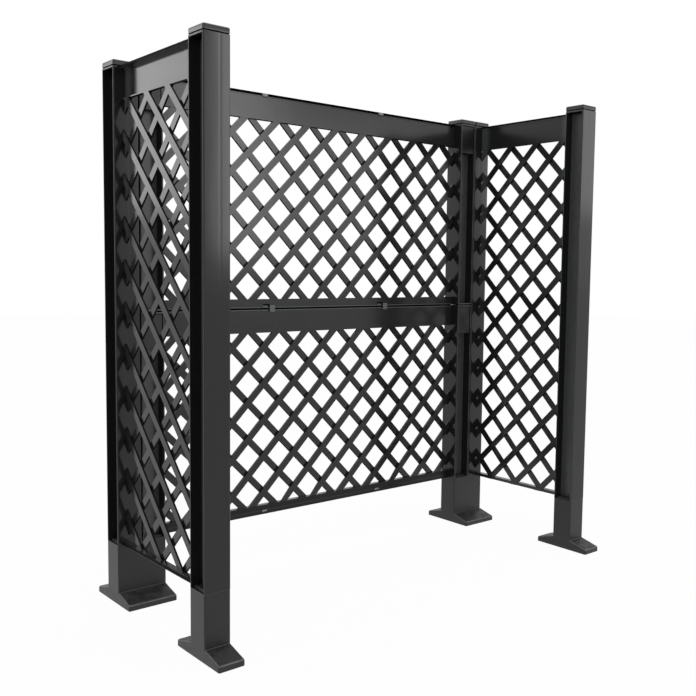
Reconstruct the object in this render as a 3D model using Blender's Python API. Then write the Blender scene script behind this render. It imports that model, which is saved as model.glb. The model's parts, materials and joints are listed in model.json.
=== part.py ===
"""Free-standing lattice screen that hides two wheelie bins, open at the front.

Posts stand in spreading feet and carry lattice panels on three sides. The screen stands on Z = 0,
centred on X and Y, with its open side towards -Y. Sizes are in metres.
"""

import math

import bmesh
import bpy
from mathutils import Matrix, Vector

OVERALL_WIDTH = 1.380
OVERALL_HEIGHT = 1.400
SIDE_BAY = 0.382
TWIN_POST_GAP = 0.002
FIT_GAP = 0.0003

POST_SIZE = 0.067
POST_FLANGE = 0.0045
POST_WEB = 0.008
POST_ROUNDING = 0.003
END_BAR_HEIGHT = 0.0046
END_BAR_DEPTH = 0.010
NECK_HEIGHT = 0.0015
NECK_SETBACK = 0.002

CAP_HEIGHT = 0.015
CAP_ROUNDING = 0.004
CAP_REVEAL = 0.0012

FOOT_HEIGHT = 0.158
FOOT_ROUNDING = 0.004
TOE_REACH = 0.062
TOE_ROOT_HEIGHT = 0.031
TOE_TIP_HEIGHT = 0.015
FOOT_WALL = 0.004
FOOT_DECK = 0.008
SPIGOT_HEIGHT = 0.004

PANEL_DROP = 0.001
PANEL_SKIRT = 0.0017
PANEL_INSET = 0.0015
PANEL_WALL = 0.003
BACK_BOARD_HEIGHT = 0.076
SIDE_BOARD_HEIGHT = 0.0805
LEAST_RAIL_HEIGHT = 0.020
RIB_HEIGHT = 0.003
FLANGE_REACH = 0.021
FLANGE_THICKNESS = 0.005
LEDGE_HEIGHT = 0.010
BEAD_HEIGHT = 0.0045
BEAD_PROUD = 0.0015
TONGUE_HEIGHT = 0.0065
TONGUE_SETBACK = 0.003
JOINT_REVEAL = 0.0012

LATTICE_PITCH = 0.1085
LATTICE_SETBACK = 0.001
SLAT_WIDTH = 0.0188
SLAT_DEPTH = 0.005
APEX_TRIM = 0.0015
SIDE_LATTICE_SHIFT = 0.0063
SIDE_LATTICE_DROP = 0.001

CATCH_OFFSET = 0.219
CATCH_WIDTH = 0.017
CATCH_HEIGHT = 0.005
CATCH_PROUD = 0.003

CLIP_SHIFT = 0.025
CLIP_WIDTH = 0.018
CLIP_HEIGHT = 0.020
CLIP_THICKNESS = 0.0025
CLIP_LEG = 0.003

CONNECTOR_HEIGHT = 0.092
CONNECTOR_DROP = 0.0012
CONNECTOR_SETBACK = 0.0025
CONNECTOR_ROUNDING = 0.002

CUTTER_OVERRUN = 0.010
ROUND_PROFILE_SHARE = 0.5

POST_BOTTOM = FOOT_HEIGHT + FIT_GAP
POST_TOP = OVERALL_HEIGHT - CAP_HEIGHT - FIT_GAP
CAP_BOTTOM = POST_TOP + FIT_GAP
OUTER_POST_X = (OVERALL_WIDTH - POST_SIZE) / 2
INNER_POST_X = OUTER_POST_X - POST_SIZE - TWIN_POST_GAP
POST_Y = (SIDE_BAY + POST_SIZE) / 2
CHANNEL_WIDTH = POST_SIZE - 2 * POST_FLANGE
PANEL_TOP = CAP_BOTTOM - PANEL_DROP
PANEL_BOTTOM = FOOT_HEIGHT - PANEL_SKIRT
BACK_PANEL_HEIGHT = (PANEL_TOP - PANEL_BOTTOM + TONGUE_HEIGHT - JOINT_REVEAL) / 2
SPLIT_HEIGHT = PANEL_TOP - BACK_PANEL_HEIGHT
LATTICE_REACH = LATTICE_SETBACK + 2 * SLAT_DEPTH
OPENING = LATTICE_PITCH - SLAT_WIDTH * math.sqrt(2)


def clear_scene():
    for obj in list(bpy.data.objects):
        bpy.data.objects.remove(obj, do_unlink=True)


def plastic(name, colour, roughness):
    material = bpy.data.materials.new(name)
    material.use_nodes = True
    shader = material.node_tree.nodes["Principled BSDF"]
    shader.inputs["Base Color"].default_value = (*colour, 1)
    shader.inputs["Roughness"].default_value = roughness
    shader.inputs["Metallic"].default_value = 0
    material.diffuse_color = (*colour, 1)
    return material


def post_plastic():
    return plastic("post_plastic", (0.045, 0.047, 0.050), 0.15)


def panel_plastic():
    return plastic("panel_plastic", (0.060, 0.062, 0.065), 0.25)


def foot_plastic():
    return plastic("foot_plastic", (0.035, 0.037, 0.039), 0.55)


def cap_plastic():
    return plastic("cap_plastic", (0.050, 0.052, 0.054), 0.45)


def connector_plastic():
    return plastic("connector_plastic", (0.035, 0.037, 0.039), 0.50)


def clip_plastic():
    return plastic("clip_plastic", (0.090, 0.092, 0.095), 0.40)


def add_object(name, bm, material=None):
    """Turns the mesh being built into a scene object, with its faces pointing out."""
    bmesh.ops.recalc_face_normals(bm, faces=bm.faces)
    mesh = bpy.data.meshes.new(name)
    bm.to_mesh(mesh)
    bm.free()
    obj = bpy.data.objects.new(name, mesh)
    bpy.context.scene.collection.objects.link(obj)
    if material:
        mesh.materials.append(material)
    return obj


def add_helper(name, bm):
    helper = add_object(name, bm)
    helper.hide_render = True
    helper.display_type = "WIRE"
    return helper


def combine(obj, helper, operation):
    helper.parent = obj
    modifier = obj.modifiers.new(helper.name, "BOOLEAN")
    modifier.operation = operation
    modifier.solver = "EXACT"
    modifier.object = helper


def box(bm, low, high):
    """A block between two opposite corners. It returns the block's vertices."""
    low, high = Vector(low), Vector(high)
    size = Matrix.Diagonal((*(high - low), 1))
    return bmesh.ops.create_cube(bm, size=1, matrix=Matrix.Translation((low + high) / 2) @ size)["verts"]


def prism(bm, outline, direction):
    """Extrudes a flat outline along a direction."""
    base = bm.faces.new([bm.verts.new(point) for point in outline])
    extruded = bmesh.ops.extrude_face_region(bm, geom=[base])["geom"]
    moved = [item for item in extruded if isinstance(item, bmesh.types.BMVert)]
    bmesh.ops.translate(bm, verts=moved, vec=direction)


def round_edges(bm, edges, radius, segments):
    bmesh.ops.bevel(
        bm, geom=edges, offset=radius, segments=segments, profile=ROUND_PROFILE_SHARE, affect="EDGES"
    )


def post_outline(setback=0):
    """H section, flanges at -Y and +Y and channels at -X and +X. A setback draws it in all round."""
    half = POST_SIZE / 2 - setback
    inner = POST_SIZE / 2 - POST_FLANGE
    web = POST_WEB / 2
    radius = min(POST_ROUNDING, half - inner)
    centre = half - radius
    turns = [math.pi / 2 * step / 3 for step in range(4)]
    corner = [(centre + radius * math.cos(turn), centre + radius * math.sin(turn)) for turn in turns]
    mouth = [(half, inner)] if radius < half - inner else []
    quarter = [(web, inner), *mouth, *corner]
    upper = [*quarter, *[(-x, y) for x, y in reversed(quarter)]]
    return [*upper, *[(-x, -y) for x, y in upper]]


def add_end(post, end, inward, necked):
    """A post's end: a bar across each channel's mouth and, at a joint, a neck drawn in all round."""
    start = end
    if necked:
        start = end + inward * NECK_HEIGHT
        bm = bmesh.new()
        prism(bm, [(x, y, end) for x, y in post_outline(NECK_SETBACK)], (0, 0, 2 * inward * NECK_HEIGHT))
        combine(post, add_helper(f"{post.name}_neck", bm), "UNION")
    half = POST_SIZE / 2
    inner = half - POST_FLANGE
    low, high = sorted((start, start + inward * END_BAR_HEIGHT))
    bm = bmesh.new()
    for left in (-half, half - END_BAR_DEPTH):
        box(bm, (left, -inner, low), (left + END_BAR_DEPTH, inner, high))
    label = "upper" if inward < 0 else "lower"
    combine(post, add_helper(f"{post.name}_{label}_bars", bm), "UNION")


def add_post(name, place, low, high, turned, material, joint=None):
    """An H-section length between two heights, barred at the top. Its end at a joint is barred and necked."""
    bm = bmesh.new()
    main_low = low + NECK_HEIGHT if joint == low else low
    main_high = high - NECK_HEIGHT if joint == high else high
    prism(bm, [(x, y, main_low) for x, y in post_outline()], (0, 0, main_high - main_low))
    post = add_object(name, bm, material)
    if joint == low:
        add_end(post, low, 1, True)
    add_end(post, high, -1, joint == high)
    post.location = (*place, 0)
    post.rotation_euler = (0, 0, math.pi / 2 if turned else 0)
    return post


def channel_plugs(bm, place, turned, low, high):
    """Two blocks that fill a post's channels between two heights, set back behind the channels' mouths."""
    inner = POST_WEB / 2 + FIT_GAP
    outer = POST_SIZE / 2 - END_BAR_DEPTH - FIT_GAP
    half = CHANNEL_WIDTH / 2 - FIT_GAP
    turn = Matrix.Translation((*place, 0)) @ Matrix.Rotation(math.pi / 2 if turned else 0, 4, "Z")
    for side in (-1, 1):
        ends = sorted((side * inner, side * outer))
        block = box(bm, (ends[0], -half, low), (ends[1], half, high))
        bmesh.ops.transform(bm, matrix=turn, verts=block)


def add_cap(name, place, turned, material):
    """A square cap with a rounded rim on a drawn-in neck, and two plugs for the post's channels."""
    bm = bmesh.new()
    half = POST_SIZE / 2
    box(bm, (-half, -half, CAP_BOTTOM + CAP_REVEAL), (half, half, OVERALL_HEIGHT))
    middle = CAP_BOTTOM + CAP_HEIGHT / 2
    outer = [edge for edge in bm.edges if any(vert.co.z > middle for vert in edge.verts)]
    round_edges(bm, outer, CAP_ROUNDING, 4)
    cap = add_object(name, bm, material)
    neck = half - NECK_SETBACK
    bm = bmesh.new()
    box(bm, (-neck, -neck, CAP_BOTTOM), (neck, neck, CAP_BOTTOM + CAP_HEIGHT / 3))
    combine(cap, add_helper(f"{name}_neck", bm), "UNION")
    bm = bmesh.new()
    channel_plugs(bm, (0, 0), turned, POST_TOP - END_BAR_HEIGHT, CAP_BOTTOM + CAP_HEIGHT / 4)
    combine(cap, add_helper(f"{name}_plugs", bm), "UNION")
    cap.location = (*place, 0)
    return cap


def foot_outline():
    """The foot from its side: a square socket with a toe that slopes down in front and one behind."""
    half = POST_SIZE / 2
    tip = half + TOE_REACH
    front = [(-half, FOOT_HEIGHT), (-half, TOE_ROOT_HEIGHT), (-tip, TOE_TIP_HEIGHT), (-tip, 0)]
    return [*front, *[(-y, z) for y, z in reversed(front)]]


def outer_foot_edges(bm):
    """The foot's upright and sloping outside corners, and the top edge of each toe's tip."""
    root = POST_SIZE / 2
    found = []
    for edge in bm.edges:
        start, end = (vert.co for vert in edge.verts)
        tip_top = start.z > 0 and start.y == end.y and abs(start.y) > root + TOE_REACH / 2
        if start.z != end.z or tip_top:
            found.append(edge)
    return found


def foot_hollow(bm, low, high):
    """Core under one post: its socket box, and a pocket under each toe that follows the toe's slope."""
    half = POST_SIZE / 2 - FOOT_WALL
    box(bm, (low, -half, -CUTTER_OVERRUN), (high, half, FOOT_HEIGHT - FOOT_DECK))
    root = POST_SIZE / 2
    tip = root + TOE_REACH - FOOT_WALL
    pocket = [
        (-root, -CUTTER_OVERRUN), (-root, TOE_ROOT_HEIGHT - FOOT_WALL),
        (-tip, TOE_TIP_HEIGHT - FOOT_WALL), (-tip, -CUTTER_OVERRUN),
    ]
    for side in (-1, 1):
        prism(bm, [(low, side * y, z) for y, z in pocket], (high - low, 0, 0))


def add_foot(name, place, posts, material):
    """A foot that carries one post or two, given as (X from the foot's middle, turned) for each."""
    half_width = max(x for x, _ in posts) + POST_SIZE / 2
    bm = bmesh.new()
    prism(bm, [(-half_width, y, z) for y, z in foot_outline()], (2 * half_width, 0, 0))
    round_edges(bm, outer_foot_edges(bm), FOOT_ROUNDING, 3)
    foot = add_object(name, bm, material)
    bm = bmesh.new()
    for x, _ in posts:
        low = x - POST_SIZE / 2 + FOOT_WALL
        foot_hollow(bm, low, low + POST_SIZE - 2 * FOOT_WALL)
    combine(foot, add_helper(f"{name}_core", bm), "DIFFERENCE")
    bm = bmesh.new()
    for x, turned in posts:
        channel_plugs(bm, (x, 0), turned, FOOT_HEIGHT - FOOT_DECK / 2, FOOT_HEIGHT + SPIGOT_HEIGHT)
    combine(foot, add_helper(f"{name}_spigots", bm), "UNION")
    foot.location = (*place, 0)
    return foot


def head_outline(height, board_height):
    """Section of a panel's head: thin board ribbed at its foot, set-back tongue and outward flange."""
    shoulder = height - TONGUE_HEIGHT
    shelf = shoulder - PANEL_WALL
    tongue = TONGUE_SETBACK + PANEL_WALL
    foot = height - board_height
    return [
        (0, foot), (LATTICE_REACH, foot), (LATTICE_REACH, foot + RIB_HEIGHT), (PANEL_WALL, foot + RIB_HEIGHT),
        (PANEL_WALL, shelf), (tongue, shelf), (tongue, height - FLANGE_THICKNESS),
        (FLANGE_REACH, height - FLANGE_THICKNESS), (FLANGE_REACH, height),
        (TONGUE_SETBACK, height), (TONGUE_SETBACK, shoulder), (-BEAD_PROUD, shoulder),
        (-BEAD_PROUD, shoulder - BEAD_HEIGHT), (0, shoulder - BEAD_HEIGHT),
    ]


def rail_outline(rail_height):
    """Section of a back panel's foot rail: a front lip that hangs over the tongue of the panel below."""
    lip = TONGUE_SETBACK - FIT_GAP
    rebate = TONGUE_HEIGHT - JOINT_REVEAL + FIT_GAP
    flange = rebate + FLANGE_THICKNESS
    return [
        (-BEAD_PROUD, 0), (lip, 0), (lip, rebate), (FLANGE_REACH, rebate), (FLANGE_REACH, flange),
        (PANEL_WALL, flange), (PANEL_WALL, rail_height - RIB_HEIGHT), (LATTICE_REACH, rail_height - RIB_HEIGHT),
        (LATTICE_REACH, rail_height), (0, rail_height), (0, BEAD_HEIGHT), (-BEAD_PROUD, BEAD_HEIGHT),
    ]


def trim(outline, axis, limit, side):
    """Keeps what lies below (side 1) or above (side -1) a limit along one axis of a convex outline."""
    kept = []
    for here, there in zip(outline, outline[1:] + outline[:1]):
        inside = side * here[axis] <= side * limit
        if inside:
            kept.append(here)
        if inside != (side * there[axis] <= side * limit):
            share = (limit - here[axis]) / (there[axis] - here[axis])
            crossing = [start + share * (end - start) for start, end in zip(here, there)]
            crossing[axis] = limit
            kept.append(tuple(crossing))
    return kept


def slab(bm, outline, front, back):
    """A flat piece with its outline in X and Z and its two faces at exact places along Y."""
    base = bm.faces.new([bm.verts.new((x, front, z)) for x, z in outline])
    for item in bmesh.ops.extrude_face_region(bm, geom=[base])["geom"]:
        if isinstance(item, bmesh.types.BMVert):
            item.co.y = back


def slat_layer(name, window, centre, slope, front, back):
    """Parallel slats at 45 degrees, trimmed to (left, right, low, high). The centre is an opening's."""
    left, right, low, high = window
    reach = right - left + high - low
    count = math.ceil(reach / LATTICE_PITCH)
    half = SLAT_WIDTH / math.sqrt(2)
    bm = bmesh.new()
    for step in range(-count, count):
        x = centre[0] + (step + 1 / 2) * LATTICE_PITCH
        ends = [(x - slope * reach, centre[1] - reach), (x + slope * reach, centre[1] + reach)]
        outline = [(ends[0][0] - half, ends[0][1]), (ends[0][0] + half, ends[0][1])]
        outline += [(ends[1][0] + half, ends[1][1]), (ends[1][0] - half, ends[1][1])]
        for axis, limit, side in ((0, left, -1), (0, right, 1), (1, low, -1), (1, high, 1)):
            outline = trim(outline, axis, limit, side)
        if len(outline) > 2:
            slab(bm, outline, front, back)
    return add_helper(name, bm)


def weave(panel, window, centre, hand):
    """The lattice: an inner layer of slats and an outer layer that crosses it, fused where they cross."""
    middle = LATTICE_SETBACK + SLAT_DEPTH
    inner = slat_layer(f"{panel.name}_inner_slats", window, centre, hand, LATTICE_SETBACK, middle)
    combine(panel, inner, "UNION")
    outer = slat_layer(f"{panel.name}_outer_slats", window, centre, -hand, middle, LATTICE_REACH)
    combine(panel, outer, "UNION")


def add_back_panel(name, bottom, material):
    """One of the two like back panels. Local X runs along it, Y outward and Z up from its lower edge."""
    half = INNER_POST_X - POST_SIZE / 2 - FIT_GAP
    top = BACK_PANEL_HEIGHT - BACK_BOARD_HEIGHT
    one_opening = OPENING - 2 * APEX_TRIM
    rows = math.floor((top - LEAST_RAIL_HEIGHT - one_opening) / LATTICE_PITCH)
    rail_height = top - one_opening - rows * LATTICE_PITCH
    bm = bmesh.new()
    for outline in (head_outline(BACK_PANEL_HEIGHT, BACK_BOARD_HEIGHT), rail_outline(rail_height)):
        prism(bm, [(-half, y, z) for y, z in outline], (2 * half, 0, 0))
    panel = add_object(name, bm, material)
    bm = bmesh.new()
    for side in (-1, 1):
        left = side * CATCH_OFFSET - CATCH_WIDTH / 2
        catch_top = BACK_PANEL_HEIGHT - TONGUE_HEIGHT
        for low in (catch_top - CATCH_HEIGHT, BEAD_HEIGHT / 2):
            box(bm, (left, -CATCH_PROUD, low), (left + CATCH_WIDTH, TONGUE_SETBACK / 2, low + CATCH_HEIGHT))
    combine(panel, add_helper(f"{name}_catches", bm), "UNION")
    weave(panel, (-half, half, rail_height, top), (LATTICE_PITCH / 2, top + APEX_TRIM - OPENING / 2), 1)
    panel.location = (0, POST_Y - PANEL_INSET, bottom)
    return panel


def add_side_panel(name, hand, material):
    """A full-height side panel. The hand is 1 for the panel at +X and -1 for its mirror image at -X."""
    half = SIDE_BAY / 2 - FIT_GAP
    height = PANEL_TOP - PANEL_BOTTOM
    top = height - SIDE_BOARD_HEIGHT
    bm = bmesh.new()
    prism(bm, [(-half, y, z) for y, z in head_outline(height, SIDE_BOARD_HEIGHT)], (2 * half, 0, 0))
    panel = add_object(name, bm, material)
    centre = (-hand * SIDE_LATTICE_SHIFT, top - SIDE_LATTICE_DROP)
    weave(panel, (-half, half, 0, top), centre, hand)
    bm = bmesh.new()
    ledge = [(-half, 0), (half, 0), (half, LEDGE_HEIGHT), (-half, LEDGE_HEIGHT)]
    slab(bm, ledge, PANEL_WALL, FLANGE_REACH)
    combine(panel, add_helper(f"{name}_ledge", bm), "UNION")
    panel.location = (hand * (OUTER_POST_X - PANEL_INSET), 0, PANEL_BOTTOM)
    panel.rotation_euler = (0, 0, -hand * math.pi / 2)
    return panel


def add_connector(name, x, top, material):
    """The block in a rear inner post's front channel that holds the end of a back panel."""
    bm = bmesh.new()
    half = CHANNEL_WIDTH / 2 - FIT_GAP
    front = CONNECTOR_SETBACK - POST_SIZE / 2
    box(bm, (-half, front, top - CONNECTOR_HEIGHT), (half, -POST_WEB / 2 - FIT_GAP, top))
    face = [edge for edge in bm.edges if all(vert.co.y < front + CONNECTOR_ROUNDING for vert in edge.verts)]
    round_edges(bm, face, CONNECTOR_ROUNDING, 2)
    connector = add_object(name, bm, material)
    connector.location = (x, POST_Y, 0)
    return connector


def add_clip(name, x, material):
    """A hook clip that bridges the joint of the two back panels over their beads."""
    back = -FIT_GAP
    front = back - BEAD_PROUD - CLIP_THICKNESS
    inner = front + CLIP_THICKNESS
    half = CLIP_HEIGHT / 2
    outline = [(back, -half), (front, -half), (front, half), (back, half)]
    outline += [(back, half - CLIP_LEG), (inner, half - CLIP_LEG)]
    outline += [(inner, CLIP_LEG - half), (back, CLIP_LEG - half)]
    bm = bmesh.new()
    prism(bm, [(-CLIP_WIDTH / 2, y, z) for y, z in outline], (CLIP_WIDTH, 0, 0))
    clip = add_object(name, bm, material)
    clip.location = (x, POST_Y - PANEL_INSET, SPLIT_HEIGHT)
    return clip


def add_posts(material):
    for side, label in ((-1, "left"), (1, "right")):
        outer_x, inner_x = side * OUTER_POST_X, side * INNER_POST_X
        add_post(f"front_{label}_post", (outer_x, -POST_Y), POST_BOTTOM, POST_TOP, False, material)
        add_post(f"rear_{label}_side_post", (outer_x, POST_Y), POST_BOTTOM, POST_TOP, False, material)
        low, high = SPLIT_HEIGHT - FIT_GAP, SPLIT_HEIGHT + FIT_GAP
        add_post(f"rear_{label}_back_post_upper", (inner_x, POST_Y), high, POST_TOP, True, material, high)
        add_post(f"rear_{label}_back_post_lower", (inner_x, POST_Y), POST_BOTTOM, low, True, material, low)


def add_caps(material):
    for side, label in ((-1, "left"), (1, "right")):
        add_cap(f"front_{label}_cap", (side * OUTER_POST_X, -POST_Y), False, material)
        add_cap(f"rear_{label}_side_cap", (side * OUTER_POST_X, POST_Y), False, material)
        add_cap(f"rear_{label}_back_cap", (side * INNER_POST_X, POST_Y), True, material)


def add_feet(material):
    twin = (OUTER_POST_X - INNER_POST_X) / 2
    for side, label in ((-1, "left"), (1, "right")):
        add_foot(f"front_{label}_foot", (side * OUTER_POST_X, -POST_Y), [(0, False)], material)
        posts = [(-twin, side > 0), (twin, side < 0)]
        add_foot(f"rear_{label}_foot", (side * (OUTER_POST_X + INNER_POST_X) / 2, POST_Y), posts, material)


def add_panels(material):
    add_side_panel("left_panel", -1, material)
    add_side_panel("right_panel", 1, material)
    add_back_panel("back_upper_panel", SPLIT_HEIGHT, material)
    add_back_panel("back_lower_panel", PANEL_BOTTOM, material)


def add_connectors(material):
    upper = POST_TOP - END_BAR_HEIGHT - CONNECTOR_DROP
    lower = SPLIT_HEIGHT - FIT_GAP - NECK_HEIGHT - END_BAR_HEIGHT - CONNECTOR_DROP
    for side, label in ((-1, "left"), (1, "right")):
        add_connector(f"rear_{label}_upper_connector", side * INNER_POST_X, upper, material)
        add_connector(f"rear_{label}_lower_connector", side * INNER_POST_X, lower, material)


def add_clips(material):
    add_clip("left_panel_clip", CLIP_SHIFT - CATCH_OFFSET, material)
    add_clip("right_panel_clip", CLIP_SHIFT + CATCH_OFFSET, material)


clear_scene()
add_posts(post_plastic())
add_caps(cap_plastic())
add_feet(foot_plastic())
add_panels(panel_plastic())
add_connectors(connector_plastic())
add_clips(clip_plastic())
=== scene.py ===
import json
import math

import bpy
from mathutils import Matrix, Vector


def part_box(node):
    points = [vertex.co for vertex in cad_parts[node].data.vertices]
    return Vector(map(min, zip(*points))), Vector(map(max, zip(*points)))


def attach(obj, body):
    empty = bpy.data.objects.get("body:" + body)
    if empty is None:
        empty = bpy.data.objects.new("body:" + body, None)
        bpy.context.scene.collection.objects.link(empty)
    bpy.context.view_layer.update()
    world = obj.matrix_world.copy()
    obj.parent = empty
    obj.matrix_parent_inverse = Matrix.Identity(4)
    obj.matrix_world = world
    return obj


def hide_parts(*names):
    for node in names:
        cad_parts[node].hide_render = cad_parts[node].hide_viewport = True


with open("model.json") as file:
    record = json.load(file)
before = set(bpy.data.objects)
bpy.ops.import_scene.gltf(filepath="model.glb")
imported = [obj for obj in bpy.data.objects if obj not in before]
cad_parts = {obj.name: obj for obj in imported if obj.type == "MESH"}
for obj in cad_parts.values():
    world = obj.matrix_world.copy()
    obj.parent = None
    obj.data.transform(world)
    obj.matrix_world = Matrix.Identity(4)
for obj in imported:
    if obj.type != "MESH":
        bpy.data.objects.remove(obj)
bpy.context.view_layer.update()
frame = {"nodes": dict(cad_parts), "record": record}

slots = {part["node"]: part["material_slot"] for part in frame["record"]["subparts"]}
print("frame loaded:", len(frame["nodes"]), "CAD nodes")

cool = (0.97, 1.0, 1.03)
dusty = (1.06, 1.0, 0.92)
refraction = 1.40  # of every plastic here
edgeTurn = (0.02, 0.18)  # how far a face turns off every axis to count as a rounded edge


# A socket that takes part in sums, so that shader maths reads as maths.
class Wire:
    def __init__(self, sheet, socket):
        self.sheet = sheet
        self.socket = socket

    def maths(self, operation, first, second):
        return self.sheet.node("Math", {"operation": operation}, {0: first, 1: second})

    def __add__(self, other):
        return self.maths("ADD", self, other)

    def __sub__(self, other):
        return self.maths("SUBTRACT", self, other)

    def __rsub__(self, other):
        return self.maths("SUBTRACT", other, self)

    def __mul__(self, other):
        return self.maths("MULTIPLY", self, other)

    __radd__ = __add__
    __rmul__ = __mul__

    def size(self):
        return self.maths("ABSOLUTE", self, 0.0)

    def larger(self, other):
        return self.maths("MAXIMUM", self, other)

    def rise(self, low, high):  # 0 at low, 1 at high, smooth between
        return self.sheet.node("MapRange", {"interpolation_type": "SMOOTHSTEP"}, {0: self, 1: low, 2: high})


# The node sheet of a material or of the world.
class Sheet:
    def __init__(self, owner):
        self.owner = owner
        owner.use_nodes = True
        self.tree = owner.node_tree
        self.tree.nodes.clear()

    def node(self, kind, settings, sockets, out=0):
        made = self.tree.nodes.new("ShaderNode" + kind)
        for setting, value in settings.items():
            setattr(made, setting, value)
        for place, value in sockets.items():
            if isinstance(value, Wire):
                self.tree.links.new(value.socket, made.inputs[place])
            else:
                made.inputs[place].default_value = value
        return Wire(self, made.outputs[out]) if made.outputs else None

    def spot(self, stretch):
        place = self.node("TexCoord", {}, {}, "Object")
        return self.node("Mapping", {}, {"Vector": place, "Scale": stretch})

    def noise(self, stretch, detail=2.0, rough=0.5):
        sockets = {"Vector": self.spot(stretch), "Scale": 1.0, "Detail": detail, "Roughness": rough}
        return self.node("TexNoise", {}, sockets)

    def patchy(self, stretch, detail, rough, low, high):  # noise that shows only where it is strong
        return self.noise(stretch, detail, rough).rise(low, high)

    def cells(self, stretch):
        return self.node("TexVoronoi", {}, {"Vector": self.spot(stretch), "Scale": 1.0})

    def blend(self, share, first, second):
        return self.node("Mix", {"data_type": "RGBA"}, {0: share, 6: first, 7: second}, 2)

    def facing(self, axis):
        normal = self.node("NewGeometry", {}, {}, "Normal")
        return self.node("SeparateXYZ", {}, {0: normal}, axis)

    def place(self, axis):
        place = self.node("TexCoord", {}, {}, "Object")
        return self.node("SeparateXYZ", {}, {0: place}, axis)

    # 1 on rounded edges, 0 on faces that look along an axis
    def edges(self):
        flat = self.facing("X").size().larger(self.facing("Y").size()).larger(self.facing("Z").size())
        return (1 - flat).rise(*edgeTurn)

    # 1 low down, 0 from a height on, with a fade below it
    def lowDown(self, height, fade):
        return (height - self.place("Z")).rise(0.0, fade)

    # 1 where the camera, a mirroring face or glass looks straight at it
    def seen(self):
        kinds = ("Camera", "Glossy", "Transmission")
        camera, glossy, through = (self.node("LightPath", {}, {}, f"Is {kind} Ray") for kind in kinds)
        return camera.larger(glossy.larger(through))

    def bumps(self, depth, height, under=None):
        sockets = {"Strength": 1.0, "Distance": depth, "Height": height}
        if under:
            sockets["Normal"] = under
        return self.node("Bump", {}, sockets)

    def finished(self, shader, kind="OutputMaterial"):
        self.node(kind, {}, {"Surface": shader})
        return self.owner

    def finishedPlastic(self, colour, rough, skin, specular=0.5):
        sockets = {
            "Base Color": colour, "Roughness": rough, "Normal": skin,
            "IOR": refraction, "Specular IOR Level": specular,
        }
        return self.finished(self.node("BsdfPrincipled", {}, sockets))


def grey(value, tint=(1.0, 1.0, 1.0)):
    return (value * tint[0], value * tint[1], value * tint[2], 1.0)


# A plain roughness, and what each mask adds to it.
def roughened(plain, amounts, masks):
    for name, mask in masks.items():
        plain = plain + mask * amounts[name]
    return plain


# The middle of a node along X or Y.
def middle(nodeName, axis):
    low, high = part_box(nodeName)
    return (low[axis] + high[axis]) / 2


# A noise is given by its stretch, detail and roughness, a patchy one also by the low and high end of its
# threshold.
extrusion = {
    "dark": 0.0085, "light": 0.0115, "cloud": ((7.0, 7.0, 2.5), 3.0),
    "worn": 0.030, "wornShare": 0.6, "wear": ((45.0, 45.0, 18.0), 3.0, 0.7, 0.45, 0.70),
    # dusted, dustFacing and dustPatches set painted light: the faces that look across, the channels among
    # them, are painted lighter
    "dusted": 0.070, "dustFacing": (0.90, 0.99), "dustPatches": 0.4,
    "soiled": 0.060, "soilShare": 0.10, "splash": (0.30, 0.15), "splashPatches": (0.40, 0.75),
    "patches": ((40.0, 40.0, 25.0), 4.0, 0.7),
    "drawLines": ((420.0, 420.0, 1.6), 3.0, 0.6), "drawDepth": 0.000004,
    "specks": ((900.0, 900.0, 700.0), 2.0, 0.5, 0.66, 0.74),
    "scuffs": ((60.0, 60.0, 9.0), 4.0, 0.7, 0.60, 0.70),
    "waves": ((16.0, 16.0, 3.2), 1.0), "waveDepth": 0.00022,
    "sinkWidth": 0.006, "sinkDepth": 0.000042, "sinkShift": 0.008,
    "roughness": 0.13,
    "rough": {
        "lines": 0.050, "cloud": 0.040, "scuffs": 0.030, "specks": 0.10,
        "wear": 0.15, "splash": 0.10, "dust": 0.20,
    },
}


# Extruded post plastic: mirror-like, drawn lengthwise, a little wavy, worn on its arrises, with painted
# light on the faces that look across, the channels among them, and a sink line down each plain face, where
# the web meets it. Plain faces look along one axis.
def extrudedFinish(name, across, along, line):
    plastic = Sheet(bpy.data.materials.new(name))
    cloud = plastic.noise(*extrusion["cloud"])
    lines = plastic.noise(*extrusion["drawLines"])
    specks = plastic.patchy(*extrusion["specks"])
    scuffs = plastic.patchy(*extrusion["scuffs"])
    patches = plastic.noise(*extrusion["patches"])
    splash = plastic.lowDown(*extrusion["splash"]) * patches.rise(*extrusion["splashPatches"])
    wear = plastic.edges() * plastic.patchy(*extrusion["wear"])
    # painted light: the faces that look across, the channels' webs among them, are painted lighter in
    # patches, under the name dust
    paintedLightPatches = patches * extrusion["dustPatches"] + (1 - extrusion["dustPatches"])
    dust = plastic.facing(across).size().rise(*extrusion["dustFacing"]) * paintedLightPatches
    colour = plastic.blend(cloud, grey(extrusion["dark"], cool), grey(extrusion["light"], cool))
    colour = plastic.blend(dust, colour, grey(extrusion["dusted"], cool))
    colour = plastic.blend(wear * extrusion["wornShare"], colour, grey(extrusion["worn"]))
    colour = plastic.blend(splash * extrusion["soilShare"], colour, grey(extrusion["soiled"], dusty))
    rough = roughened(extrusion["roughness"], extrusion["rough"], {
        "lines": lines - 0.5, "cloud": cloud - 0.5, "scuffs": scuffs, "specks": specks,
        "wear": wear, "splash": splash, "dust": dust,
    })
    waves = plastic.bumps(extrusion["waveDepth"], plastic.noise(*extrusion["waves"]))
    spot = plastic.place(across).size() if across == "X" else plastic.place(across)
    sink = (spot - line).size().rise(0.0, extrusion["sinkWidth"]) * plastic.facing(along).size()
    sunk = plastic.bumps(extrusion["sinkDepth"], sink, waves)
    skin = plastic.bumps(extrusion["drawDepth"], lines, sunk)
    return plastic.finishedPlastic(colour, rough, skin)


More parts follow.
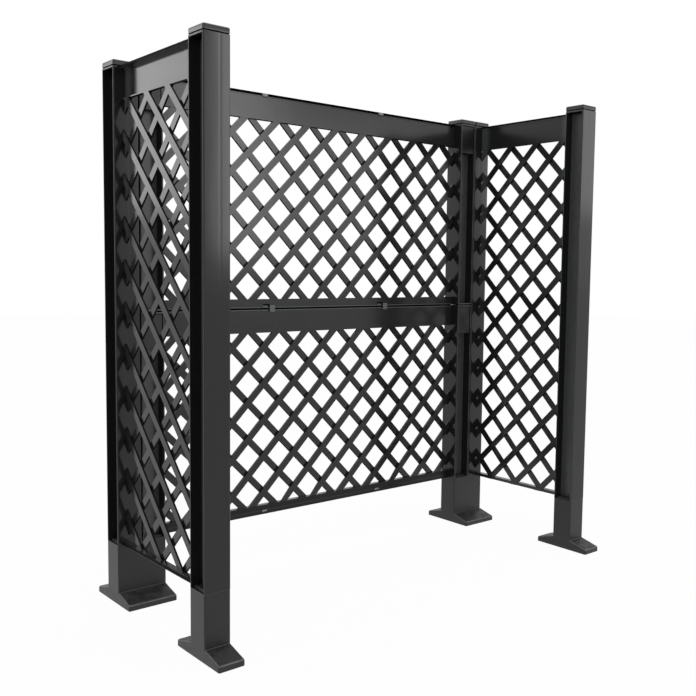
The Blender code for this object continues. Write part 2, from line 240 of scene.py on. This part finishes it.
moulding = {
    "mouldedPlastic": {"dark": 0.0120, "light": 0.0165, "roughness": 0.17, "specular": 0.5, "rub": 1.0},
    # darker, duller copies of the skin are painted shade on flanks, undersides and the foot rail; lighter
    # ones are painted highlight on beads and catches
    "mouldedFlank": {"dark": 0.0040, "light": 0.0065, "roughness": 0.60, "specular": 0.05, "rub": 0.0},
    "mouldedUnder": {"dark": 0.0015, "light": 0.0030, "roughness": 0.70, "specular": 0.0, "rub": 0.0},
    "mouldedRail": {"dark": 0.0080, "light": 0.0115, "roughness": 0.34, "specular": 0.28, "rub": 0.0},
    "mouldedBead": {"dark": 0.0550, "light": 0.0800, "roughness": 0.30, "specular": 0.5, "rub": 0.0},
    "mouldedCatch": {"dark": 0.2000, "light": 0.2800, "roughness": 0.30, "specular": 0.5, "rub": 0.0},
}
mouldSkin = {
    "flow": ((9.0, 9.0, 22.0), 4.0, 0.6),
    "dusted": 0.090, "dustShare": 0.25, "dustFacing": (0.55, 0.95),
    "dustPatches": ((35.0, 35.0, 35.0), 4.0, 0.7, 0.35, 0.70),
    # where a post's flange rubs a side panel's end: how far out along Y that starts and stops, and how high
    "rubbed": 0.060, "rubStart": (0.145, 0.175), "rubStop": (0.195, 0.200), "rubHeights": (0.5, 1.3),
    "specks": ((700.0, 700.0, 700.0), 2.0, 0.5, 0.67, 0.75),
    "scuffs": ((30.0, 30.0, 55.0), 4.0, 0.7, 0.60, 0.72),
    "grain": ((1500.0, 1500.0, 1500.0), 2.0), "grainDepth": 0.000006,
    "sink": ((26.0, 26.0, 26.0), 1.0), "sinkDepth": 0.00010,
    "rough": {"flow": 0.080, "scuffs": 0.040, "specks": 0.10, "dust": 0.20},
}


# Injection-moulded lattice and boards: glossy faces with faint flow clouds and shallow sink. The dull flanks
# and undersides and the foot rail are darker copies of the same skin, painted shade, and the beads and the
# catches are lighter ones, painted highlight.
def mouldedFinish(name):
    shade = moulding[name]
    plastic = Sheet(bpy.data.materials.new(name))
    flow = plastic.noise(*mouldSkin["flow"])
    grain = plastic.noise(*mouldSkin["grain"])
    specks = plastic.patchy(*mouldSkin["specks"])
    scuffs = plastic.patchy(*mouldSkin["scuffs"])
    dust = plastic.facing("Z").rise(*mouldSkin["dustFacing"]) * plastic.patchy(*mouldSkin["dustPatches"])
    colour = plastic.blend(flow, grey(shade["dark"], cool), grey(shade["light"], cool))
    colour = plastic.blend(dust * mouldSkin["dustShare"], colour, grey(mouldSkin["dusted"], dusty))
    end = plastic.place("Y").size()
    rubbed = end.rise(*mouldSkin["rubStart"]) * (1 - end.rise(*mouldSkin["rubStop"]))
    rubbed = rubbed * plastic.place("Z").rise(*mouldSkin["rubHeights"]) * shade["rub"]
    colour = plastic.blend(rubbed, colour, grey(mouldSkin["rubbed"], cool))
    rough = roughened(shade["roughness"], mouldSkin["rough"], {
        "flow": flow - 0.5, "scuffs": scuffs, "specks": specks, "dust": dust,
    })
    sink = plastic.bumps(mouldSkin["sinkDepth"], plastic.noise(*mouldSkin["sink"]))
    skin = plastic.bumps(mouldSkin["grainDepth"], grain, sink)
    return plastic.finishedPlastic(colour, rough, skin, shade["specular"])


footing = {
    "dark": 0.0115, "light": 0.0165, "cloud": ((22.0, 22.0, 22.0), 3.0),
    # the worn colour is partly wear and partly a painted highlight on rounded edges that face partly up
    "worn": 0.130, "wear": ((90.0, 90.0, 90.0), 3.0, 0.7, 0.25, 0.60), "wearPatches": 0.6,
    "wearFacing": (0.10, 0.40), "wearLevel": (0.93, 0.99),  # painted highlight and wear where an edge faces partly up, but not on level faces
    "soiled": 0.075, "patches": ((55.0, 55.0, 55.0), 4.0, 0.7),
    "dustShare": 0.30, "dustFacing": (0.40, 0.95), "dustPatches": (0.32, 0.70),
    "splashShare": 0.18, "splash": (0.09, 0.09), "splashPatches": (0.42, 0.72),
    "hide": (620.0, 620.0, 620.0), "hideDepth": 0.00007,
    "pores": ((1500.0, 1500.0, 1500.0), 2.0), "poreShare": 0.5,
    "roughness": 0.36,
    "rough": {"cloud": 0.10, "dust": 0.25, "splash": 0.15, "wear": -0.08},
}


# Grained foot plastic: a leathery skin, dust on what faces up, soil splashed near the ground, and its
# rounded edges that face partly up made lighter, partly wear and partly painted highlight.
def grainedFinish():
    plastic = Sheet(bpy.data.materials.new("grainedPlastic"))
    cloud = plastic.noise(*footing["cloud"])
    hide = plastic.cells(footing["hide"])
    pores = plastic.noise(*footing["pores"])
    patches = plastic.noise(*footing["patches"])
    dust = plastic.facing("Z").rise(*footing["dustFacing"]) * patches.rise(*footing["dustPatches"])
    splash = plastic.lowDown(*footing["splash"]) * patches.rise(*footing["splashPatches"])
    # partly wear, partly painted highlight: rounded edges that face partly up, as if lit from above, made
    # lighter
    upper = plastic.edges() * plastic.facing("Z").rise(*footing["wearFacing"])
    upper = upper * (1 - plastic.facing("Z").rise(*footing["wearLevel"]))
    wearAndHighlightPatches = plastic.patchy(*footing["wear"]) * footing["wearPatches"] + (1 - footing["wearPatches"])
    wear = upper * wearAndHighlightPatches
    colour = plastic.blend(cloud, grey(footing["dark"], cool), grey(footing["light"], cool))
    colour = plastic.blend(wear, colour, grey(footing["worn"]))
    soil = (dust * footing["dustShare"]).larger(splash * footing["splashShare"])
    colour = plastic.blend(soil, colour, grey(footing["soiled"], dusty))
    rough = roughened(footing["roughness"], footing["rough"], {
        "cloud": cloud - 0.5, "dust": dust, "splash": splash, "wear": wear,
    })
    skin = plastic.bumps(footing["hideDepth"], hide + pores * footing["poreShare"])
    return plastic.finishedPlastic(colour, rough, skin)


trimShades = {
    "cap_plastic": {
        "name": "capPlastic", "dark": 0.025, "light": 0.034, "roughness": 0.20,
        "grain": 1000.0, "depth": 0.00002, "crown": 5.0,
    },
    "connector_plastic": {
        "name": "blockPlastic", "dark": 0.007, "light": 0.011, "roughness": 0.36,
        "grain": 800.0, "depth": 0.00004, "crown": 0.0,
    },
    "clip_plastic": {
        "name": "clipPlastic", "dark": 0.075, "light": 0.110, "roughness": 0.30,
        "grain": 1100.0, "depth": 0.00002, "crown": 0.0,
    },
}
trimSkin = {
    "cloud": ((30.0, 30.0, 30.0), 3.0), "grain": (3.0, 0.7), "patches": ((70.0, 70.0, 70.0), 4.0, 0.7),
    "dusted": 0.085, "dustShare": 0.20, "dustFacing": (0.60, 0.98), "dustPatches": (0.35, 0.72),
    "wear": ((120.0, 120.0, 120.0), 3.0, 0.7, 0.40, 0.66), "wearShare": 0.4, "wearGain": 2,
    "rough": {"cloud": 0.10, "dust": 0.18, "wear": -0.05},
}
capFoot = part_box("front_left_post")[1][2]


# Small mouldings with an even spark-eroded skin, rubbed on the edges and dusty on top. A cap's sides lean
# in, more the higher they are.
def trimFinish(shade):
    plastic = Sheet(bpy.data.materials.new(shade["name"]))
    cloud = plastic.noise(*trimSkin["cloud"])
    grain = plastic.noise((shade["grain"],) * 3, *trimSkin["grain"])
    patches = plastic.noise(*trimSkin["patches"])
    dust = plastic.facing("Z").rise(*trimSkin["dustFacing"]) * patches.rise(*trimSkin["dustPatches"])
    wear = plastic.edges() * plastic.patchy(*trimSkin["wear"])
    colour = plastic.blend(cloud, grey(shade["dark"], cool), grey(shade["light"], cool))
    worn = grey(shade["light"] * trimSkin["wearGain"])
    colour = plastic.blend(wear * trimSkin["wearShare"], colour, worn)
    colour = plastic.blend(dust * trimSkin["dustShare"], colour, grey(trimSkin["dusted"], dusty))
    masks = {"cloud": cloud - 0.5, "dust": dust, "wear": wear}
    rough = roughened(shade["roughness"], trimSkin["rough"], masks)
    over = (plastic.place("Z") - capFoot).larger(0.0)
    lean = over * over * -shade["crown"]
    skin = plastic.bumps(shade["depth"], grain, plastic.bumps(1.0, lean))
    return plastic.finishedPlastic(colour, rough, skin)


webLine = middle("front_right_post", 0) - extrusion["sinkShift"]
finishes = {
    "post_plastic": extrudedFinish("extrudedPlastic", "X", "Y", webLine),
    "turned": extrudedFinish("extrudedPlasticTurned", "Y", "X", middle("rear_right_back_post_upper", 1)),
    "panel_plastic": mouldedFinish("mouldedPlastic"),
    "flank": mouldedFinish("mouldedFlank"),
    "under": mouldedFinish("mouldedUnder"),
    "bead": mouldedFinish("mouldedBead"),
    "catch": mouldedFinish("mouldedCatch"),
    "rail": mouldedFinish("mouldedRail"),
    "foot_plastic": grainedFinish(),
}
for slotName, shade in trimShades.items():
    finishes[slotName] = trimFinish(shade)
print("finishes ready:", len(finishes))


# Gives a piece its finishes, first the main one.
def giveFinishes(piece, names):
    piece.data.materials.clear()
    for name in names:
        piece.data.materials.append(finishes[name])


# Runs one operator in edit mode, on what is selected in the active mesh.
def inEditMode(operator, **settings):
    bpy.ops.object.mode_set(mode="EDIT")
    operator(**settings)
    bpy.ops.object.mode_set(mode="OBJECT")


# Selects just the vertices of the active piece that the test picks.
def pickVertices(piece, test):
    inEditMode(bpy.ops.mesh.select_all, action="DESELECT")
    for vertex in piece.data.vertices:
        vertex.select = test(vertex.co)


def nudge(piece, test, offset):
    pickVertices(piece, test)
    inEditMode(bpy.ops.transform.translate, value=offset)


def activate(piece):
    bpy.ops.object.select_all(action="DESELECT")
    piece.select_set(True)
    bpy.context.view_layer.objects.active = piece


backPanel = {
    "finishes": ("panel_plastic", "under", "bead", "rail", "catch"),
    # the depth of each slat layer's back, and how far that back goes on
    "lattice": {0.009: 0.0025, 0.014: 0.0045}, "layerNear": 0.0004,
    # the joint's groove opens by the extra above and below
    "tongueHeight": 0.0065, "grooveExtra": 0.0020, "levelNear": 0.0002,
    # the bead on the lower panel's foot: its top slopes, and then it goes up, with the two plates on it
    "footBead": 0.0045, "beadNear": 0.0001, "slopeDepths": (0.0025, 0.0035), "footSlope": 0.0025,
    "liftHeights": (0.0015, 0.0078), "liftDepth": 0.0049, "footLift": 0.0055,
    # where the finishes change, from the panel's front and its lower or upper edge
    "beadFront": 0.0022, "beadTop": 0.0130, "railTop": 0.034, "slopeFront": 0.0032, "slopeUp": 0.3,
    "catchOffset": 0.219, "catchHalf": 0.0088, "catchFront": 0.0004,
    "looks": 0.6, "notLevel": 0.5,
}


# Deepens the slats of a back panel, and opens the groove between its beads so that the tongue shows. The
# lower panel's foot bead goes up and gets a sloping top.
def shapeBackPanel(piece, nodeName):
    low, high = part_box(nodeName)
    for depth, further in sorted(backPanel["lattice"].items(), reverse=True):
        back = low[1] + depth
        nudge(piece, lambda spot: abs(spot.y - back) < backPanel["layerNear"], (0, further, 0))
    shoulder = high[2] - backPanel["tongueHeight"]
    near, extra = backPanel["levelNear"], backPanel["grooveExtra"]
    nudge(piece, lambda spot: abs(spot.z - shoulder) < near, (0, 0, -extra))
    if "upper" in nodeName:
        nudge(piece, lambda spot: abs(spot.z - low[2]) < near, (0, 0, extra))
        return
    top = low[2] + backPanel["footBead"]
    nearer, farther = backPanel["slopeDepths"]
    lowest, highest = backPanel["liftHeights"]

    def topsBead(spot):
        return abs(spot.z - top) < backPanel["beadNear"] and nearer < spot.y - low[1] < farther

    def isBead(spot):
        return lowest < spot.z - low[2] < highest and spot.y < low[1] + backPanel["liftDepth"]

    nudge(piece, topsBead, (0, 0, backPanel["footSlope"]))
    nudge(piece, isBead, (0, 0, backPanel["footLift"]))


# Gives a back panel's undersides and tongue a dull, dark finish, painted shade, and its foot rail a darker
# one, painted shade too. The beads at the joint and the catch plates get a lighter finish, painted
# highlight.
def finishBackPanel(piece, nodeName):
    low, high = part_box(nodeName)
    front = low[1]
    tongueFoot = high[2] - backPanel["tongueHeight"] - backPanel["grooveExtra"]
    for face in piece.data.polygons:
        normal, spot = face.normal, face.center
        tongue = spot.z > tongueFoot and abs(normal.z) < backPanel["notLevel"]
        bead = spot.y < front + backPanel["beadFront"] and normal.z > -backPanel["looks"]
        if "upper" in nodeName:
            joint = spot.z < low[2] + backPanel["beadTop"]
        else:
            joint = spot.z > high[2] - backPanel["beadTop"]
        # undersides and the tongue in its groove get the darkest finish: painted shade
        finish = "under" if normal.z < -backPanel["looks"] or tongue else "panel_plastic"
        # the beads at the joint get a lighter finish: painted highlight
        if bead and joint:
            finish = "bead"
        rail = "lower" in nodeName and spot.z < low[2] + backPanel["railTop"]
        slope = normal.z > backPanel["slopeUp"] and spot.y < front + backPanel["slopeFront"]
        # the foot rail's front gets a darker, duller finish, painted shade, and its catch plates a light
        # one, painted highlight
        if rail and normal.y < -backPanel["looks"] and not slope:
            offCatch = abs(abs(spot.x) - backPanel["catchOffset"])
            plate = spot.y < front + backPanel["catchFront"] and offCatch < backPanel["catchHalf"]
            finish = "catch" if plate else "rail"
        face.material_index = backPanel["finishes"].index(finish)


sidePanel = {
    "finishes": ("panel_plastic", "flank", "under", "bead"),
    "levelNear": 0.0002, "ledgeRounding": 0.0016, "ledgeSteps": 3,
    "flangeHeight": 0.0052, "footHeight": 0.0102, "tongueHeight": 0.0065, "lattice": (0.004, 0.03),
    "looks": 0.8, "slants": 0.6, "turns": 0.1,
}


# Rounds the lower outer arris of a side panel's foot ledge.
def shapeSidePanel(piece, nodeName):
    low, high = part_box(nodeName)
    outer = low[0] if "left" in nodeName else high[0]
    near = sidePanel["levelNear"]
    pickVertices(piece, lambda spot: abs(spot.x - outer) < near and abs(spot.z - low[2]) < near)
    for edge in piece.data.edges:
        edge.select = all(piece.data.vertices[end].select for end in edge.vertices)
    rounding, steps = sidePanel["ledgeRounding"], sidePanel["ledgeSteps"]
    inEditMode(bpy.ops.mesh.bevel, offset=rounding, segments=steps, affect="EDGES")


# Gives a side panel's slat flanks, flange, tongue and foot ledge dull, darker finishes, painted shade, and
# the rounded arris of its foot ledge a lighter one, painted highlight.
def finishSidePanel(piece, nodeName):
    low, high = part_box(nodeName)
    side = -1 if "left" in nodeName else 1
    latticeFoot, latticeHead = low[2] + sidePanel["lattice"][0], high[2] - sidePanel["lattice"][1]
    for face in piece.data.polygons:
        normal, spot = face.normal, face.center
        flank = min(abs(normal.y), abs(normal.z)) > sidePanel["slants"]
        below = normal.z < -sidePanel["slants"] and latticeFoot < spot.z < latticeHead
        edge = spot.z > high[2] - sidePanel["flangeHeight"] or spot.z < low[2] + sidePanel["footHeight"]
        outer = normal.x * side > sidePanel["looks"] and edge
        tongue = normal.x * side < -sidePanel["looks"] and spot.z > high[2] - sidePanel["tongueHeight"]
        arris = normal.x * side > sidePanel["turns"] and normal.z < -sidePanel["turns"]
        # flanks, faces under the lattice and the outer faces of flange and foot ledge get a darker, duller
        # finish: painted shade
        finish = "flank" if flank or below or outer else "panel_plastic"
        # the tongue gets the darkest finish: painted shade
        if tongue:
            finish = "under"
        # the rounded arris of the foot ledge gets a lighter finish: painted highlight
        if arris and spot.z < low[2] + sidePanel["ledgeRounding"]:
            finish = "bead"
        face.material_index = sidePanel["finishes"].index(finish)


cap = {
    "finishes": ("cap_plastic", "under"),
    "rimFoot": capFoot + 0.0015, "levelNear": 0.0003, "lift": 0.0010, "over": 0.0001,
}


# Raises the foot of a cap's rim, so that the dark reveal under it opens.
def shapeCap(piece, nodeName):
    nudge(piece, lambda spot: abs(spot.z - cap["rimFoot"]) < cap["levelNear"], (0, 0, cap["lift"]))


# The faces under a cap's rim, in the reveal, get the darkest finish: painted shade.
def finishCap(piece, nodeName):
    reveal = cap["rimFoot"] + cap["lift"] + cap["over"]
    for face in piece.data.polygons:
        face.material_index = int(face.center.z < reveal)


dressing = {
    "merge": 0.00001, "levelled": math.radians(0.6),
    "sharp": math.radians(42), "smooth": math.radians(60),
    # edge rounding in metres and its steps, by the slot that a piece takes
    "rounding": {
        "post_plastic": (0.0007, 2), "panel_plastic": (0.0006, 2), "foot_plastic": (0.0010, 3),
        "cap_plastic": (0.0007, 2), "connector_plastic": (0.0008, 2), "clip_plastic": (0.0005, 2),
    },
}


# The camel-case name of a node: front_left_post becomes frontLeftPost.
def pieceName(nodeName):
    first, *rest = nodeName.split("_")
    return first + "".join(word.capitalize() for word in rest)


# How a node is shaped, its finishes, and how they go on its faces. Most nodes have one finish and keep their
# shape.
def wayOf(nodeName):
    if slots[nodeName] == "cap_plastic":
        return shapeCap, cap["finishes"], finishCap
    if slots[nodeName] == "panel_plastic" and "back" in nodeName:
        return shapeBackPanel, backPanel["finishes"], finishBackPanel
    if slots[nodeName] == "panel_plastic":
        return shapeSidePanel, sidePanel["finishes"], finishSidePanel
    return None, ("turned" if "back_post" in nodeName else slots[nodeName],), None


# A merged copy of a node, with its sharp edges rounded and its flat faces kept flat.
def dressNode(nodeName):
    shapePiece, names, finishPiece = wayOf(nodeName)
    piece = bpy.data.objects.new(pieceName(nodeName), frame["nodes"][nodeName].data.copy())
    bpy.context.scene.collection.objects.link(piece)
    activate(piece)
    bpy.ops.object.mode_set(mode="EDIT")
    bpy.ops.mesh.select_all(action="SELECT")
    bpy.ops.mesh.remove_doubles(threshold=dressing["merge"])
    bpy.ops.mesh.customdata_custom_splitnormals_clear()
    bpy.ops.mesh.dissolve_limited(angle_limit=dressing["levelled"])
    bpy.ops.object.mode_set(mode="OBJECT")
    if shapePiece:
        shapePiece(piece, nodeName)
    bpy.ops.object.shade_smooth_by_angle(angle=dressing["sharp"])
    bevel = piece.modifiers.new("edgeRounding", "BEVEL")
    bevel.width, bevel.segments = dressing["rounding"][slots[nodeName]]
    bevel.limit_method = "ANGLE"
    bevel.angle_limit = dressing["sharp"]
    bevel.harden_normals = False
    flat = piece.modifiers.new("flatFaces", "WEIGHTED_NORMAL")
    flat.keep_sharp = True
    activate(piece)
    for modifier in list(piece.modifiers):
        bpy.ops.object.modifier_apply(modifier=modifier.name)
    bpy.ops.object.shade_smooth_by_angle(angle=dressing["smooth"])
    giveFinishes(piece, names)
    if finishPiece:
        finishPiece(piece, nodeName)
    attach(piece, "root")
    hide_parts(nodeName)
    return piece


dressed = [dressNode(nodeName) for nodeName in frame["nodes"]]
print("pieces dressed:", len(dressed), "with", sum(len(piece.data.polygons) for piece in dressed), "faces")


# A new block at its size and place, made the active object, to be shaped in edit mode.
def addBlock(name, place, size):
    bpy.ops.object.select_all(action="DESELECT")
    bpy.ops.mesh.primitive_cube_add(size=1, location=place, scale=size)
    block = bpy.context.object
    block.name = name
    bpy.ops.object.transform_apply(location=True, rotation=True, scale=True)
    return block


# Rounds all edges of a new piece, and gives it its finish and body.
def finishNew(piece, rounding, finishName):
    bpy.ops.object.mode_set(mode="EDIT")
    bpy.ops.mesh.select_all(action="SELECT")
    bpy.ops.mesh.bevel(offset=rounding, segments=2)
    bpy.ops.object.mode_set(mode="OBJECT")
    bpy.ops.object.shade_smooth_by_angle(angle=dressing["smooth"])
    giveFinishes(piece, [finishName])
    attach(piece, "root")


catch = {"width": 0.017, "low": 0.0085, "high": 0.0015, "proud": 0.0015, "deep": 0.0070, "rounding": 0.0008}


# A small moulded plate on the upper panel's tongue, where another panel would lock on.
def addTopCatch(name, side):
    low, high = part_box("back_upper_panel")
    size = (catch["width"], catch["deep"], catch["low"] - catch["high"])
    place = (
        side * backPanel["catchOffset"],
        low[1] + catch["proud"] + size[1] / 2,
        high[2] - catch["high"] - size[2] / 2,
    )
    # the plate takes the light catch finish: a painted highlight
    finishNew(addBlock(name, place, size), catch["rounding"], "catch")


# the hook-shaped dark piece beside each clip is painted shadow
hookShadow = {
    "thick": 0.0030, "proud": 0.0020, "sunk": 0.0040, "rise": 0.0135, "drop": 0.0065, "reach": 0.0180,
    "panelFace": 0.003, "rounding": 0.0005, "looks": 0.9,
    "endDepth": 1.2,  # in thicknesses from its top
}


# A dark hook-shaped piece beside a clip, painted shadow for the shadow gap around it: an arm that runs
# outwards above the joint, and a leg that comes down over it.
def addHookShadow(name, clipName):
    low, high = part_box(clipName)
    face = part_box("back_upper_panel")[0][1] + hookShadow["panelFace"]
    joint = (low[2] + high[2]) / 2
    thick = hookShadow["thick"]
    place = (low[0] - thick / 2, face - hookShadow["proud"] + hookShadow["sunk"] / 2, joint + hookShadow["rise"] - thick / 2)
    piece = addBlock(name, place, (thick, hookShadow["sunk"], thick))
    ending = joint + hookShadow["rise"] - hookShadow["endDepth"] * thick
    for axis, step in ((2, -hookShadow["rise"] - hookShadow["drop"] + thick), (0, -hookShadow["reach"])):
        inEditMode(bpy.ops.mesh.select_all, action="DESELECT")
        for side in piece.data.polygons:
            side.select = side.normal[axis] < -hookShadow["looks"] and side.center.z > ending
        offset = [0, 0, 0]
        offset[axis] = step
        inEditMode(bpy.ops.mesh.extrude_region_move, TRANSFORM_OT_translate={"value": offset})
    finishNew(piece, hookShadow["rounding"], "under")


addTopCatch("leftTopCatch", -1)
addTopCatch("rightTopCatch", 1)
addHookShadow("leftHook", "left_panel_clip")
addHookShadow("rightHook", "right_panel_clip")
print("small pieces added: 4")


studio = {
    "floorHalf": 14.0, "floorColour": 0.88, "floorGlow": 0.965,
    "worldLight": 0.75,
    # the place of each lamp, what it aims at, its size and its watts
    "lamps": {
        "keyBox": ((3.30, -6.0, 2.5), (3.30, 0.0, 2.5), (1.24, 3.0), 56),
        "fillBox": ((5.15, -6.0, 1.85), (5.15, 0.0, 1.85), (2.46, 1.7), 22),
        "rightBox": ((8.90, -6.0, 2.9), (8.90, 0.0, 2.9), (3.0, 2.4), 44),
        "rightLowBox": ((8.90, -6.0, 1.2), (8.90, 0.0, 1.2), (3.0, 1.0), 3),
        "topBox": ((0.0, -0.4, 4.2), (0.0, 0.0, 0.0), (3.0, 3.0), 20),
        "rearLeftBox": ((-4.32, 7.0, 3.05), (-0.69, 0.0, 1.6), (1.8, 3.1), 48),
    },
}


# The floor takes the object's shadow, and is near white to the camera and in reflections.
def floorFinish():
    floor = Sheet(bpy.data.materials.new("studioFloor"))
    lit = floor.node("BsdfDiffuse", {}, {"Color": grey(studio["floorColour"])})
    glow = floor.node("Emission", {}, {"Color": grey(1.0), "Strength": 1.0})
    share = floor.seen() * studio["floorGlow"]
    return floor.finished(floor.node("MixShader", {}, {0: share, 1: lit, 2: glow}))


def addFloor():
    bpy.ops.object.select_all(action="DESELECT")
    bpy.ops.mesh.primitive_plane_add(size=2 * studio["floorHalf"], location=(0, 0, 0))
    floor = bpy.context.object
    floor.name = "studioFloor"
    floor.data.materials.append(floorFinish())


# The surroundings light softly, and are white to the camera and in reflections.
def setWorld():
    world = Sheet(bpy.data.worlds.new("studioWorld"))
    bpy.context.scene.world = world.owner
    soft = world.node("Background", {}, {"Color": grey(1.0), "Strength": studio["worldLight"]})
    white = world.node("Background", {}, {"Color": grey(1.0), "Strength": 1.0})
    world.finished(world.node("MixShader", {}, {0: world.seen(), 1: soft, 2: white}), "OutputWorld")


def addLamp(name, place, aim, size, watts):
    lamp = bpy.data.lights.new(name, "AREA")
    lamp.shape = "RECTANGLE"
    lamp.size, lamp.size_y = size
    lamp.energy = watts
    holder = bpy.data.objects.new(name, lamp)
    bpy.context.scene.collection.objects.link(holder)
    turn = (Vector(aim) - Vector(place)).to_track_quat("-Z", "Y").to_matrix().to_4x4()
    holder.matrix_world = Matrix.Translation(place) @ turn


# The photograph's camera. Angles are in degrees, the lens and its frame in millimetres.
view = {
    "frame": 36.0, "lens": 45.79, "shiftX": -0.04195, "shiftY": -0.0056, "farthest": 100.0,
    "place": (-1.6474, -1.9564, 0.8826),
    "yaw": 40.526, "pitch": -4.752, "roll": 0.773,
}


def addCamera():
    camera = bpy.data.cameras.new("photoCamera")
    camera.sensor_width = view["frame"]
    camera.lens = view["lens"]
    camera.shift_x, camera.shift_y = view["shiftX"], view["shiftY"]
    camera.clip_end = view["farthest"]
    holder = bpy.data.objects.new("photoCamera", camera)
    bpy.context.scene.collection.objects.link(holder)
    turn = Matrix.Rotation(-math.radians(view["yaw"]), 4, "Z")
    tilt = Matrix.Rotation(math.pi / 2 + math.radians(view["pitch"]), 4, "X")
    roll = Matrix.Rotation(math.radians(view["roll"]), 4, "Z")
    holder.matrix_world = Matrix.Translation(view["place"]) @ turn @ tilt @ roll
    bpy.context.scene.camera = holder


addFloor()
setWorld()
for lampName, settings in studio["lamps"].items():
    addLamp(lampName, *settings)
addCamera()
bpy.context.scene.view_settings.view_transform = "Standard"
print("studio ready:", len(studio["lamps"]), "lamps")
